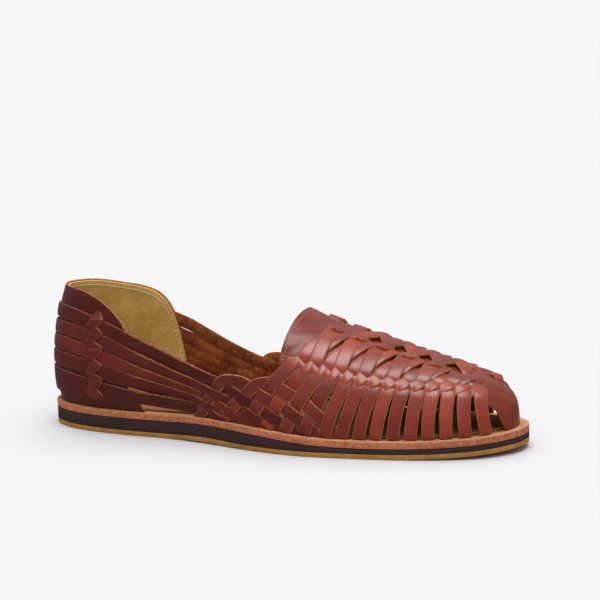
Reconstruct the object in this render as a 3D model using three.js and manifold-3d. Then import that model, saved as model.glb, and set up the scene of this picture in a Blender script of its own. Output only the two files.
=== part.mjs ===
// Woven leather huarache sandal, right foot, modelled in millimetres.
// +X points from heel to toe, +Y to the medial side, +Z up.
import * as THREE from 'three';
import { mergeVertices } from 'three/addons/utils/BufferGeometryUtils.js';
import Module from 'manifold-3d';

const wasm = await Module();
wasm.setup();

// Sole sizes
const length = 288;
const ballWidth = 100;
const outsoleThickness = 2.7;
const wedgeHeelThickness = 6.6;
const wedgeForeThickness = 2.6;
const weltThickness = 3.8;
const toeSpring = 3.4;
const archRise = 0.8;
const layerGap = 0.3;

// Last sizes
const heelInset = 3.6;
const toeInset = 5.8;
const sideInset = 5;
const instepHeight = 58.5;
const throatX = 155.8;
const throatRise = 1.8;
const heelRoundX = 30;

// Leather sizes
const leather = 1.6;
const stripWidth = 7.6;
const stripCount = 14;
const tightStripCount = 10;
const stripPitchAtSole = 9.45;
const stripPitchAtSpine = 7.7;
const rearStripSpread = 2;
const foremostStripX = 271.8;
const foremostSpineX = 266.2;
const weaveLift = 1.1;
const sunk = 0.35;
const wallLift = 0.2;
const apronLift = 0.5;
const loopLift = 0.6;
const bandLift = 1.3;
const spineBandWidth = 6.5;
const footTuck = 3;

// Heel sizes
const counterHeight = 68;
const counterFrontX = 60;
const counterMedialExtra = 9;
const medialStrapRise = 3.5;
const medialRiseX = 72;
const liningThickness = 1;
const liningEase = 0.3;
const liningMargin = 0.8;
const strapLift = 1.2;
const strapShingle = 0.25;
const strapReleaseX = 8.5;
const keeperX = 38.5;
const keeperWidth = 7.6;
const keeperLift = 2.3;
const insoleThickness = 1.2;
const insoleMargin = 4;

// Half widths are shares of the ball width, along shares of the length.
const outlineTable = [
  { share: 0, lateral: 0, medial: 0 },
  { share: 0.02, lateral: 0.155, medial: 0.155 },
  { share: 0.06, lateral: 0.245, medial: 0.245 },
  { share: 0.12, lateral: 0.305, medial: 0.305 },
  { share: 0.2, lateral: 0.335, medial: 0.325 },
  { share: 0.3, lateral: 0.348, medial: 0.31 },
  { share: 0.4, lateral: 0.405, medial: 0.3 },
  { share: 0.5, lateral: 0.48, medial: 0.325 },
  { share: 0.6, lateral: 0.515, medial: 0.39 },
  { share: 0.7, lateral: 0.485, medial: 0.45 },
  { share: 0.8, lateral: 0.434, medial: 0.455 },
  { share: 0.88, lateral: 0.364, medial: 0.415 },
  { share: 0.94, lateral: 0.27, medial: 0.33 },
  { share: 0.98, lateral: 0.145, medial: 0.21 },
  { share: 1, lateral: -0.04, medial: 0.04 },
];

// Crest of the last: height as a share of the instep, offset as a share of the ball width.
const crestTable = [
  { share: 0, height: 2.1, across: 0 },
  { share: 0.2, height: 1.88, across: 0 },
  { share: 0.4, height: 1.35, across: 0.01 },
  { share: 0.5, height: 1.13, across: 0.03 },
  { share: 0.575, height: 0.99, across: 0.04 },
  { share: 0.68, height: 0.838, across: 0.04 },
  { share: 0.755, height: 0.725, across: 0.04 },
  { share: 0.84, height: 0.608, across: 0.04 },
  { share: 0.92, height: 0.494, across: 0.04 },
  { share: 0.96, height: 0.418, across: 0.04 },
  { share: 0.985, height: 0.322, across: 0.04 },
  { share: 1, height: 0.145, across: 0.04 },
];

// Angle up the section, in degrees, of the band where side strips meet the apron.
const spineTable = [
  { share: 0, angle: 37 },
  { share: 0.6, angle: 37.3 },
  { share: 0.66, angle: 37.8 },
  { share: 0.71, angle: 39.4 },
  { share: 0.78, angle: 42.3 },
  { share: 0.84, angle: 46.7 },
  { share: 0.89, angle: 52 },
  { share: 0.93, angle: 55.5 },
  { share: 1, angle: 58 },
];

// Lower border of the toe cap, as a share of the spine angle.
const capTable = [
  { share: 0, border: 1 },
  { share: 0.945, border: 1 },
  { share: 0.955, border: 0.9 },
  { share: 0.962, border: 0.8 },
  { share: 0.975, border: 0.69 },
  { share: 0.981, border: 0.54 },
  { share: 0.985, border: 0.38 },
  { share: 0.988, border: 0.16 },
  { share: 0.992, border: 0 },
  { share: 1, border: 0 },
];

// How far the heel stands out from its foot line, by share of the counter height.
const heelTable = [
  { share: -0.1, back: -1, side: 0 },
  { share: 0, back: 0, side: 0 },
  { share: 0.1, back: 1.8, side: 1 },
  { share: 0.22, back: 2.6, side: 1.6 },
  { share: 0.36, back: 2.8, side: 1.6 },
  { share: 0.5, back: 2.2, side: 0.8 },
  { share: 0.68, back: 0.5, side: -0.4 },
  { share: 0.86, back: -2, side: -2 },
  { share: 1, back: -5, side: -4 },
];

// Top line of the counter: height as a share of the counter, by share of its reach.
const toplineTable = [
  { share: 0, lateral: 1, medial: 1 },
  { share: 0.35, lateral: 0.995, medial: 0.985 },
  { share: 0.55, lateral: 0.98, medial: 0.95 },
  { share: 0.7, lateral: 0.93, medial: 0.92 },
  { share: 0.82, lateral: 0.86, medial: 0.86 },
  { share: 0.9, lateral: 0.79, medial: 0.74 },
  { share: 0.96, lateral: 0.71, medial: 0.53 },
  { share: 1, lateral: 0.6, medial: 0.28 },
];

// Long straps: heights above the sole as shares of the counter height, by share of length.
const strapColumns = [0, 0.07, 0.14, 0.26, 0.36];
const strapTable = [
  { width: 8, extraAtHeel: 0, heights: [0.774, 0.785, 0.712, 0.526, 0.362],
    weave: [[0.428, 0.278], [0.465, 0.228], [0.517, 0.149], [0.55, 0.091], [0.577, 0.038],
      [0.6, -0.02]] },
  { width: 8, extraAtHeel: 0, heights: [0.635, 0.648, 0.59, 0.401, 0.26],
    weave: [[0.395, 0.215], [0.457, 0.143], [0.501, 0.071], [0.537, 0.009], [0.553, -0.02]] },
  { width: 8, extraAtHeel: 0, heights: [0.505, 0.52, 0.454, 0.304, 0.185],
    weave: [[0.395, 0.146], [0.445, 0.075], [0.481, 0.028], [0.507, -0.02]] },
  { width: 8, extraAtHeel: 0, heights: [0.375, 0.386, 0.334, 0.226, 0.13],
    weave: [[0.395, 0.08], [0.434, 0.025], [0.46, -0.02]] },
  { width: 8, extraAtHeel: 6, heights: [0.195, 0.19, 0.159, 0.115, 0.07],
    weave: [[0.392, 0.04], [0.43, -0.015]] },
];

// Loops that rise from the sole, turn at the top line and run down forward through the weave.
const loopTable = [
  { points: [[0.368, -0.02], [0.4, 0.17], [0.411, 0.255], [0.43, 0.32], [0.45, 0.338], [0.474, 0.328],
    [0.493, 0.295], [0.529, 0.241], [0.5625, 0.2], [0.589, 0.144], [0.6125, 0.076], [0.645, -0.02]] },
  { points: [[0.424, -0.02], [0.441, 0.062], [0.457, 0.143], [0.475, 0.218], [0.489, 0.279],
    [0.51, 0.345], [0.528, 0.366], [0.547, 0.347], [0.576, 0.307], [0.606, 0.258], [0.63, 0.195],
    [0.65, 0.12], [0.68, -0.02]] },
];

const upperStart = heelInset;
const upperLength = length - heelInset - toeInset;
const sectionPower = 2.2;
const soleStations = 32;
const tipShare = 0.02;
const strapSteps = 12;
const loopSteps = 11;
const finestDetail = 0.15;
const seamClearance = 0.02;
const seamInsetShare = 0.6;
const seamWidth = 4;
const apronInnerShare = 0.75;
const apronOuterShare = 0.35;
const bandStart = 2;
const keeperFoot = 0.08;
const keeperTop = 0.86;
const up = new THREE.Vector3(0, 0, 1);

// Shares are spread so that the table runs round smoothly at both ends.
function spread(share) {
  return Math.acos(1 - 2 * THREE.MathUtils.clamp(share, 0, 1)) / Math.PI;
}

function gathered(spreadShare) {
  return (1 - Math.cos(Math.PI * spreadShare)) / 2;
}

// A smooth curve through one column of a table.
function column(table, name, place = (value) => value) {
  const xs = table.map((row) => place(row.share));
  const ys = table.map((row) => row[name]);
  const last = xs.length - 1;
  const slope = (i) => {
    const a = Math.max(i - 1, 0);
    const b = Math.min(i + 1, last);
    return (ys[b] - ys[a]) / (xs[b] - xs[a]);
  };
  return (value) => {
    const x = THREE.MathUtils.clamp(place(value), xs[0], xs[last]);
    let i = 0;
    while (i < last - 1 && x > xs[i + 1]) i += 1;
    const step = xs[i + 1] - xs[i];
    const t = (x - xs[i]) / step;
    const t2 = t * t;
    const t3 = t2 * t;
    return (2 * t3 - 3 * t2 + 1) * ys[i] + (t3 - 2 * t2 + t) * step * slope(i)
      + (3 * t2 - 2 * t3) * ys[i + 1] + (t3 - t2) * step * slope(i + 1);
  };
}

const lateralShare = column(outlineTable, 'lateral', spread);
const medialShare = column(outlineTable, 'medial', spread);
const crestHeight = column(crestTable, 'height', spread);
const crestAcross = column(crestTable, 'across');
const spineAngle = column(spineTable, 'angle');
const capBorder = column(capTable, 'border');
const heelBack = column(heelTable, 'back');
const heelSide = column(heelTable, 'side');
const toplineLateral = column(toplineTable, 'lateral');
const toplineMedial = column(toplineTable, 'medial');
const wedgeHeelEnd = 0.44;
const wedgeForeStart = 0.7;
const springStart = 0.72;
const archPlace = 0.38;
const archReach = 0.1;

// Height of the ground side of the sole: flat under heel and ball, raised at arch and toe.
function groundHeight(x) {
  const place = x / length;
  const spring = Math.max(0, (place - springStart) / (1 - springStart));
  const arch = Math.max(0, 1 - ((place - archPlace) / archReach) ** 2);
  return toeSpring * spring ** 2 + archRise * arch ** 2;
}

function wedgeThickness(x) {
  const blend = THREE.MathUtils.smoothstep(x / length, wedgeHeelEnd, wedgeForeStart);
  return THREE.MathUtils.lerp(wedgeHeelThickness, wedgeForeThickness, blend);
}

const midsoleFloor = (x) => groundHeight(x) + outsoleThickness + layerGap;
const weltFloor = (x) => midsoleFloor(x) + wedgeThickness(x) + layerGap;
const weltTop = (x) => weltFloor(x) + weltThickness;
const upperFloor = (x) => weltTop(x) + layerGap;

// A closed solid from a list of rings with the same number of points.
function loft(rings) {
  const count = rings[0].length;
  const positions = rings.flat().flatMap((p) => [p.x, p.y, p.z]);
  const index = [];
  for (let i = 0; i < rings.length - 1; i += 1) {
    for (let j = 0; j < count; j += 1) {
      const a = i * count + j;
      const b = i * count + ((j + 1) % count);
      index.push(a, b, b + count, a, b + count, a + count);
    }
  }
  const end = (rings.length - 1) * count;
  for (let j = 1; j < count - 1; j += 1) {
    index.push(0, j + 1, j, end, end + j, end + j + 1);
  }
  return outward(positions, index);
}

// Faces are turned so that the enclosed volume is positive.
function outward(positions, index) {
  let volume = 0;
  const corner = (k) => new THREE.Vector3().fromArray(positions, 3 * index[k]);
  for (let k = 0; k < index.length; k += 3) {
    volume += corner(k).dot(corner(k + 1).cross(corner(k + 2)));
  }
  const geometry = new THREE.BufferGeometry();
  geometry.setAttribute('position', new THREE.Float32BufferAttribute(positions, 3));
  geometry.setIndex(volume > 0 ? index : index.slice().reverse());
  return mergeVertices(geometry, 1e-4);
}

// A layer of the sole between two heights, inside the outline.
function soleLayer(lowSide, highSide, scale = { start: 0, length, width: 1 }) {
  const rings = [];
  for (let i = 0; i <= soleStations; i += 1) {
    const place = gathered(THREE.MathUtils.lerp(tipShare, 1 - tipShare, i / soleStations));
    const x = scale.start + place * scale.length;
    const lateral = -lateralShare(place) * ballWidth * scale.width;
    const medial = medialShare(place) * ballWidth * scale.width;
    rings.push([
      new THREE.Vector3(x, lateral, lowSide(x)),
      new THREE.Vector3(x, medial, lowSide(x)),
      new THREE.Vector3(x, medial, highSide(x)),
      new THREE.Vector3(x, lateral, highSide(x)),
    ]);
  }
  return loft(rings);
}

const featherWidth = 1 - (2 * sideInset) / ballWidth;
const upperShare = (x) => (x - upperStart) / upperLength;

// Half width of the upper's foot line on one side, measured from the middle.
function footHalfWidth(side, x) {
  const half = side < 0 ? lateralShare : medialShare;
  return half(upperShare(x)) * ballWidth * featherWidth;
}

// A point of the last's surface: angle 0 at the lateral foot line, 90 on the crest.
function crown(x, angle) {
  const place = upperShare(x);
  const crest = crestAcross(place) * ballWidth;
  const side = angle < 90 ? -1 : 1;
  const radians = THREE.MathUtils.degToRad(angle);
  const half = footHalfWidth(side, x) - side * crest;
  const power = 2 / sectionPower;
  const reach = Math.abs(Math.cos(radians)) ** power;
  const rise = Math.abs(Math.sin(radians)) ** power;
  const height = crestHeight(place) * instepHeight;
  return new THREE.Vector3(x, crest + side * half * reach, upperFloor(x) + height * rise);
}

// Angle of the last's surface at a height above the foot line.
function angleAt(x, height) {
  const crest = crestHeight(upperShare(x)) * instepHeight;
  const rise = THREE.MathUtils.clamp(height / crest, 0, 1) ** (sectionPower / 2);
  return THREE.MathUtils.radToDeg(Math.asin(rise));
}

// A point of the side wall; below the foot line it drops straight down.
function sideWall(side, x, height) {
  const angle = angleAt(x, Math.max(height, 0));
  const point = crown(x, side < 0 ? angle : 180 - angle);
  const heel = footHalfWidth(side, x) + heelSide(height / counterHeight);
  const blend = THREE.MathUtils.smoothstep(x / length, 0.2, 0.4);
  point.y = THREE.MathUtils.lerp(side * heel, point.y, blend);
  point.z = upperFloor(x) + height;
  return point;
}

const heelRadius = heelRoundX - upperStart;
const heelArc = heelRadius * Math.PI / 2;

// A point of the wall round the heel; travel is the signed distance from the back.
function heelWall(travel, height) {
  const side = travel < 0 ? -1 : 1;
  const distance = Math.abs(travel);
  if (distance >= heelArc) return sideWall(side, heelRoundX + distance - heelArc, height);
  const turn = (distance / heelArc) * Math.PI / 2;
  const x = heelRoundX - heelRadius * Math.cos(turn);
  const foot = new THREE.Vector3(x, side * footHalfWidth(side, Math.max(x, upperStart)), 0);
  const radial = foot.clone().sub(new THREE.Vector3(heelRoundX, 0, 0)).normalize();
  const level = height / counterHeight;
  const out = THREE.MathUtils.lerp(heelBack(level), heelSide(level), Math.sin(turn) ** 2);
  foot.addScaledVector(radial, out);
  foot.z = upperFloor(Math.max(foot.x, 0)) + height;
  return foot;
}

// Surface point and outward normal of a two-parameter surface.
function frameAt(surface, a, b, stepA, stepB, inside) {
  const point = surface(a, b);
  const along = surface(a + stepA, b).sub(surface(a - stepA, b));
  const across = surface(a, b + stepB).sub(surface(a, b - stepB));
  const normal = along.cross(across).normalize();
  if (normal.dot(point.clone().sub(inside(point))) < 0) normal.negate();
  return { point, normal };
}

const insideShoe = (point) => new THREE.Vector3(
  THREE.MathUtils.clamp(point.x, heelRoundX, length * 0.85), 0, upperFloor(point.x) + 5);
const crownFrame = (x, angle) => frameAt(crown, x, angle, 0.5, 0.5, insideShoe);
const heelFrame = (travel, height) => frameAt(heelWall, travel, height, 0.5, 0.5, insideShoe);

// A flat ribbon along a path of frames, lifted off the surface by each frame's lift.
function ribbon(frames, width) {
  const rings = frames.map((frame, i) => {
    const before = frames[Math.max(i - 1, 0)].point;
    const after = frames[Math.min(i + 1, frames.length - 1)].point;
    const tangent = after.clone().sub(before).normalize();
    const side = tangent.clone().cross(frame.normal).normalize();
    const normal = side.clone().cross(tangent).normalize();
    const half = (frame.width ?? width) / 2;
    const low = frame.low ?? frame.lift - leather / 2;
    const high = frame.lift + leather / 2;
    const place = (s, n) => frame.point.clone().addScaledVector(side, s).addScaledVector(normal, n);
    return [place(-half, low), place(half, low), place(half, high), place(-half, high)];
  });
  return loft(rings);
}

// A sheet of leather from a grid of frames.
function sheet(grid, inner, outer) {
  const rings = grid.map((row) => {
    const high = row.map((f) => f.point.clone().addScaledVector(f.normal, outer));
    const low = row.map((f) => f.point.clone().addScaledVector(f.normal, inner));
    return [...high, ...low.reverse()];
  });
  return sheetLoft(rings, grid[0].length);
}

// Like loft, with the end faces closed between the two faces of the sheet.
function sheetLoft(rings, columns) {
  const count = rings[0].length;
  const positions = rings.flat().flatMap((p) => [p.x, p.y, p.z]);
  const index = [];
  for (let i = 0; i < rings.length - 1; i += 1) {
    for (let j = 0; j < count; j += 1) {
      const a = i * count + j;
      const b = i * count + ((j + 1) % count);
      index.push(a, b, b + count, a, b + count, a + count);
    }
  }
  const end = (rings.length - 1) * count;
  for (let j = 0; j < columns - 1; j += 1) {
    const k = count - 1 - j;
    index.push(j, k, j + 1, j + 1, k, k - 1);
    index.push(end + j, end + j + 1, end + k, end + j + 1, end + k - 1, end + k);
  }
  return outward(positions, index);
}

function toManifold(geometry) {
  return new wasm.Manifold(new wasm.Mesh({
    numProp: 3,
    vertProperties: new Float32Array(geometry.attributes.position.array),
    triVerts: new Uint32Array(geometry.index.array),
  }));
}

function toGeometry(solid) {
  const mesh = solid.getMesh();
  const geometry = new THREE.BufferGeometry();
  geometry.setAttribute('position', new THREE.BufferAttribute(mesh.vertProperties, 3));
  geometry.setIndex(new THREE.BufferAttribute(mesh.triVerts, 1));
  return geometry;
}

// Points along a broken line, rounded by a curve through them.
function smoothPath(points, steps) {
  const curve = new THREE.CatmullRomCurve3(points.map(([a, b]) => new THREE.Vector3(a, b, 0)));
  return curve.getSpacedPoints(steps).map((p) => [p.x, p.y]);
}

// The strips at the rear stand further apart at the sole than the others.
function stripFootX(number) {
  const spreadOut = Math.max(0, number - tightStripCount + 1) * rearStripSpread;
  return foremostStripX - number * stripPitchAtSole - spreadOut;
}

// One strip runs from sole to sole over the foot, under the spine bands and over the apron.
function vampStrip(number) {
  const footX = stripFootX(number);
  const spineX = foremostSpineX - number * stripPitchAtSpine;
  const spine = spineAngle(upperShare(spineX));
  const raisedSide = number % 2 === 0 ? -1 : 1;
  const stepsToSpine = 4;
  const stepsOver = 6;
  const footAngle = 1;
  const lowerShare = 0.45;
  const frames = [];
  const push = (x, angle, lift, low) => frames.push({ ...crownFrame(x, angle), lift, low });
  const climb = (side) => {
    for (let i = 0; i <= stepsToSpine; i += 1) {
      const t = side < 0 ? i / stepsToSpine : 1 - i / stepsToSpine;
      const x = THREE.MathUtils.lerp(footX, spineX, t);
      const angle = Math.max(spine * t, footAngle);
      push(x, side < 0 ? angle : 180 - angle, wallLift);
    }
  };
  climb(-1);
  for (let i = 1; i < stepsOver; i += 1) {
    const t = i / stepsOver;
    const raised = raisedSide * (t - 0.5) > 0 ? 1 : lowerShare;
    const lift = apronLift + weaveLift * raised * Math.sqrt(Math.sin(Math.PI * t));
    push(spineX, THREE.MathUtils.lerp(spine, 180 - spine, t), lift, -sunk);
  }
  climb(1);
  return ribbon(tucked(frames), stripWidth);
}

// Both ends of a strip go on straight down into the sole.
function tucked(frames) {
  const drop = (frame) => ({ ...frame, point: frame.point.clone().addScaledVector(up, -footTuck) });
  return [drop(frames[0]), ...frames, drop(frames[frames.length - 1])];
}

// The apron runs from the throat to the toe and closes down to the sole as the toe cap.
function apron() {
  const rows = 15;
  const columns = 8;
  const crowding = 1.35;
  const throatReach = 4;
  const leastBorder = 0.5;
  const grid = [];
  for (let i = 0; i <= rows; i += 1) {
    const t = 1 - (1 - i / rows) ** crowding;
    const x = THREE.MathUtils.lerp(throatX, length - toeInset - seamClearance, t);
    const place = upperShare(x);
    const radius = (footHalfWidth(-1, x) + crestHeight(place) * instepHeight) / 2;
    const band = THREE.MathUtils.radToDeg(spineBandWidth / 2 / radius);
    const border = Math.max((spineAngle(place) - band) * capBorder(place), leastBorder);
    const row = [];
    for (let j = 0; j <= columns; j += 1) {
      const angle = THREE.MathUtils.lerp(border, 180 - border, j / columns);
      const rise = throatRise * Math.sin(THREE.MathUtils.degToRad(angle)) ** 2;
      row.push(crownFrame(x + rise * (1 - t) ** throatReach, angle));
    }
    grid.push(row);
  }
  return sheet(grid, -leather * apronInnerShare, leather * apronOuterShare);
}

// The seam that closes the toe cap at its very front.
function toeSeam() {
  const x = length - toeInset - leather * seamInsetShare;
  const point = (height) => (
    new THREE.Vector3(x, crestAcross(1) * ballWidth, upperFloor(x) + height));
  const normal = new THREE.Vector3(1, 0, 0);
  const top = crestHeight(1) * instepHeight;
  const heights = [-footTuck, top / 2, top];
  return ribbon(heights.map((height) => ({ point: point(height), normal, lift: 0 })), seamWidth);
}

function spineBand(side) {
  const steps = 18;
  const frames = [];
  for (let i = 0; i <= steps; i += 1) {
    const x = THREE.MathUtils.lerp(throatX, foremostSpineX, i / steps) + bandStart;
    const angle = spineAngle(upperShare(x));
    frames.push({ ...crownFrame(x, side < 0 ? angle : 180 - angle), lift: bandLift, low: -sunk });
  }
  return ribbon(frames, spineBandWidth);
}

const travelAt = (side, x) => side * (x - heelRoundX + heelArc);

// A long strap runs from one quarter round the heel to the other.
function longStrap(row, number) {
  const half = (side) => {
    const rear = strapColumns.map((place, i) => {
      const reach = place * length;
      const travel = reach < heelRoundX ? (reach / heelRoundX) * heelArc : travelAt(1, reach);
      return [travel, row.heights[i] * counterHeight];
    });
    const front = row.weave.map(([place, height]) => [
      travelAt(1, place * length), height * counterHeight]);
    return smoothPath([...rear, ...front], strapSteps).map(([travel, height]) => {
      const waist = Math.max(0, 1 - Math.abs(travel - travelAt(1, medialRiseX)) / heelArc);
      return [side * travel, height + (side > 0 ? medialStrapRise * waist : 0)];
    });
  };
  const path = [...half(-1).reverse(), ...half(1).slice(1)];
  const release = travelAt(1, counterFrontX) - strapReleaseX;
  const frames = path.map(([travel, height]) => {
    const distance = Math.abs(travel);
    const free = THREE.MathUtils.smoothstep(distance, release, 2 * release);
    const lift = THREE.MathUtils.lerp(strapLift, wallLift + strapShingle * number, free);
    const atHeel = 1 - THREE.MathUtils.smoothstep(distance, heelArc / 2, 2 * heelArc);
    const low = distance < release ? -sunk : undefined;
    return { ...heelFrame(travel, height), lift, low, width: row.width + row.extraAtHeel * atHeel };
  });
  return ribbon(frames, row.width);
}

function loopStrap(row, side) {
  const points = row.points.map(([place, height]) => [
    travelAt(side, place * length), height * counterHeight]);
  const frames = smoothPath(points, loopSteps).map(([travel, height]) => (
    { ...heelFrame(travel, height), lift: loopLift }));
  return ribbon(frames, stripWidth);
}

const counterReach = (side) => travelAt(1, counterFrontX + (side > 0 ? counterMedialExtra : 0));

// A panel round the heel between the sole and the top line.
function heelPanel(inner, outer, lowest, trim) {
  const columns = 14;
  const rows = 4;
  const grid = [];
  for (let i = 0; i <= columns; i += 1) {
    const signed = (2 * i) / columns - 1;
    const side = signed < 0 ? -1 : 1;
    const eased = Math.sin(Math.abs(signed) * Math.PI / 2);
    const travel = side * eased * (counterReach(side) - trim);
    const level = side < 0 ? toplineLateral(eased) : toplineMedial(eased);
    const row = [];
    for (let j = 0; j <= rows; j += 1) {
      const height = THREE.MathUtils.lerp(lowest, level * counterHeight - trim, j / rows);
      row.push(heelFrame(travel, height));
    }
    grid.push(row);
  }
  return sheet(grid, inner, outer);
}

// A vertical band of the counter that holds the long straps against it.
function keeper(side) {
  const steps = 6;
  const travel = travelAt(side, keeperX);
  const frames = [];
  for (let i = 0; i <= steps; i += 1) {
    const t = i / steps;
    const height = THREE.MathUtils.lerp(keeperFoot, keeperTop, t) * counterHeight;
    const lift = strapLift + (keeperLift - strapLift) * Math.sqrt(Math.sin(Math.PI * t));
    frames.push({ ...heelFrame(travel, height), lift, low: -sunk });
  }
  return ribbon(frames, keeperWidth);
}

function buildUpper() {
  const pieces = [apron(), toeSeam(), spineBand(-1), spineBand(1), keeper(-1), keeper(1)];
  pieces.push(heelPanel(-leather / 2, leather / 2, -footTuck, 0));
  for (let i = 0; i < stripCount; i += 1) pieces.push(vampStrip(i));
  strapTable.forEach((row, i) => pieces.push(longStrap(row, i)));
  loopTable.forEach((row) => pieces.push(loopStrap(row, -1), loopStrap(row, 1)));
  const joined = wasm.Manifold.union(pieces.map(toManifold));
  const block = soleLayer((x) => groundHeight(x) - length, upperFloor);
  return largestShell(joined.subtract(toManifold(block)).simplify(finestDetail));
}

// Pockets closed in between crossing straps are filled, which leaves the outer shell.
function largestShell(solid) {
  const shells = solid.decompose();
  return shells.reduce((best, shell) => (shell.volume() > best.volume() ? shell : best));
}

const finish = (color, roughness) => (
  new THREE.MeshStandardMaterial({ color, roughness, metalness: 0 }));
const materials = {
  outsole: finish(0xa97f48, 0.7),
  midsole: finish(0x382925, 0.85),
  welt: finish(0xb0785a, 0.65),
  upper: finish(0x7d3628, 0.38),
  lining: finish(0xa58c50, 0.75),
  insole: finish(0xb98a69, 0.7),
};

const shoe = new THREE.Group();

function addPiece(name, geometry, material) {
  const mesh = new THREE.Mesh(geometry, material);
  mesh.name = name;
  shoe.add(mesh);
}

const outsoleTop = (x) => groundHeight(x) + outsoleThickness;
const midsoleTop = (x) => midsoleFloor(x) + wedgeThickness(x);
const insoleTop = (x) => upperFloor(x) + insoleThickness;
const insoleScale = {
  start: upperStart + insoleMargin,
  length: upperLength - 2 * insoleMargin,
  width: featherWidth - (2 * insoleMargin) / ballWidth,
};
const liningOut = -leather / 2 - layerGap - liningEase;
const liningPanel = heelPanel(liningOut - liningThickness, liningOut, leather / 2, liningMargin);

addPiece('outsole', soleLayer(groundHeight, outsoleTop), materials.outsole);
addPiece('midsole', soleLayer(midsoleFloor, midsoleTop), materials.midsole);
addPiece('welt', soleLayer(weltFloor, weltTop), materials.welt);
addPiece('upper', toGeometry(buildUpper()), materials.upper);
addPiece('counter_lining', liningPanel, materials.lining);
addPiece('insole', soleLayer(upperFloor, insoleTop, insoleScale), materials.insole);

const box = new THREE.Box3().setFromObject(shoe);
shoe.position.set(-(box.min.x + box.max.x) / 2, -(box.min.y + box.max.y) / 2, -box.min.z);

export default shoe;
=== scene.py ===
import math
import random

import bmesh
import bpy
import numpy as np
from mathutils import Matrix, Vector


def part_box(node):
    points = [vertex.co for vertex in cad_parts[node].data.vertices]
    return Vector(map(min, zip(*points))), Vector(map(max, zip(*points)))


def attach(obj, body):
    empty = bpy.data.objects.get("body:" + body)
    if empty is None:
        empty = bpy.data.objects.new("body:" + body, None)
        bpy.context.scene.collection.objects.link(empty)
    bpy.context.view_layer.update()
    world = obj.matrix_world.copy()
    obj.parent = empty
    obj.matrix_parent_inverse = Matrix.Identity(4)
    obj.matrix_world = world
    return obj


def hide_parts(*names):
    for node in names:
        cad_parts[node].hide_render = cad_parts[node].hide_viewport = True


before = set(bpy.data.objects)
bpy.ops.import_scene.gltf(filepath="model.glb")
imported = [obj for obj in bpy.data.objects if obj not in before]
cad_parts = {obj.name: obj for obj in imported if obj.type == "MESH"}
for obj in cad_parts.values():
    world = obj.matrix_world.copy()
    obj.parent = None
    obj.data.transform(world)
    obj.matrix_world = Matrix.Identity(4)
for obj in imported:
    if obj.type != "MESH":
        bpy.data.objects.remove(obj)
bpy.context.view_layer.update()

# Sizes in millimetres. X runs from heel to toe, Y to the medial side, Z up.
LENGTH = 288.0
BALL = 100.0
OUTSOLE = 2.7
WEDGE_HEEL = 6.6
WEDGE_FORE = 2.6
WELT = 3.8
TOE_SPRING = 3.4
ARCH_RISE = 0.8
GAP = 0.3
HEEL_INSET = 3.6
TOE_INSET = 5.8
SIDE_INSET = 5.0
INSTEP = 58.5
THROAT_X = 155.8
THROAT_RISE = 1.8
HEEL_ROUND = 30.0
LEATHER = 1.6
STRIPS = 14
TIGHT_STRIPS = 10
SOLE_PITCH = 9.45
SPINE_PITCH = 7.7
REAR_SPREAD = 2.0
FOREMOST_FOOT = 271.8
FOREMOST_SPINE = 266.2
SPINE_BAND = 6.5
COUNTER = 68.0
COUNTER_FRONT = 60.0
COUNTER_MEDIAL_EXTRA = 9.0
MEDIAL_STRAP_RISE = 3.5
MEDIAL_RISE_X = 72.0
INSOLE = 1.2
INSOLE_MARGIN = 4.0
SECTION_POWER = 2.2
MM_PER_M = 1000

# Shares of the length: the toe spring starts, the arch and its half length, the wedge thins, and
# the upright wall of the heel turns into the last.
SPRING_START = 0.72
ARCH = 0.38
ARCH_HALF = 0.1
WEDGE_THINS = (0.44, 0.7)
WALL_TURNS = (0.2, 0.4)

# Half widths of the sole as shares of the ball width: share of length, lateral, medial.
OUTLINE = [
    (0, 0, 0), (0.02, 0.155, 0.155), (0.06, 0.245, 0.245), (0.12, 0.305, 0.305),
    (0.2, 0.335, 0.325), (0.3, 0.348, 0.31), (0.4, 0.405, 0.3), (0.5, 0.48, 0.325),
    (0.6, 0.515, 0.39), (0.7, 0.485, 0.45), (0.8, 0.434, 0.455), (0.88, 0.364, 0.415),
    (0.94, 0.27, 0.33), (0.98, 0.145, 0.21), (1, -0.04, 0.04),
]
# Crest of the last: share of length, height by instep, offset by ball width.
CREST = [
    (0, 2.1, 0), (0.2, 1.88, 0), (0.4, 1.35, 0.01), (0.5, 1.13, 0.03), (0.575, 0.99, 0.04),
    (0.68, 0.838, 0.04), (0.755, 0.725, 0.04), (0.84, 0.608, 0.04), (0.92, 0.494, 0.04),
    (0.96, 0.418, 0.04), (0.985, 0.322, 0.04), (1, 0.145, 0.04),
]
# Spine bands: share of the upper's length, angle on the last.
SPINE = [
    (0, 37), (0.6, 37.3), (0.66, 37.8), (0.71, 39.4), (0.78, 42.3), (0.84, 46.7), (0.89, 52),
    (0.93, 55.5), (1, 58),
]
# Border of the apron: share of the upper's length, share of the spine band's angle.
CAP = [
    (0, 1), (0.945, 1), (0.955, 0.9), (0.962, 0.8), (0.975, 0.69), (0.981, 0.54), (0.985, 0.38),
    (0.988, 0.16), (0.992, 0), (1, 0),
]
# Bulge of the heel: share of the counter height, at the back, at the side.
HEEL = [
    (-0.1, -1, 0), (0, 0, 0), (0.1, 1.8, 1), (0.22, 2.6, 1.6), (0.36, 2.8, 1.6), (0.5, 2.2, 0.8),
    (0.68, 0.5, -0.4), (0.86, -2, -2), (1, -5, -4),
]
# Top line of the counter: share of its reach, lateral height, medial height.
TOPLINE = [
    (0, 1, 1), (0.35, 0.995, 0.985), (0.55, 0.98, 0.95), (0.7, 0.93, 0.92), (0.82, 0.86, 0.86),
    (0.9, 0.79, 0.74), (0.96, 0.71, 0.53), (1, 0.6, 0.28),
]
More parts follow.
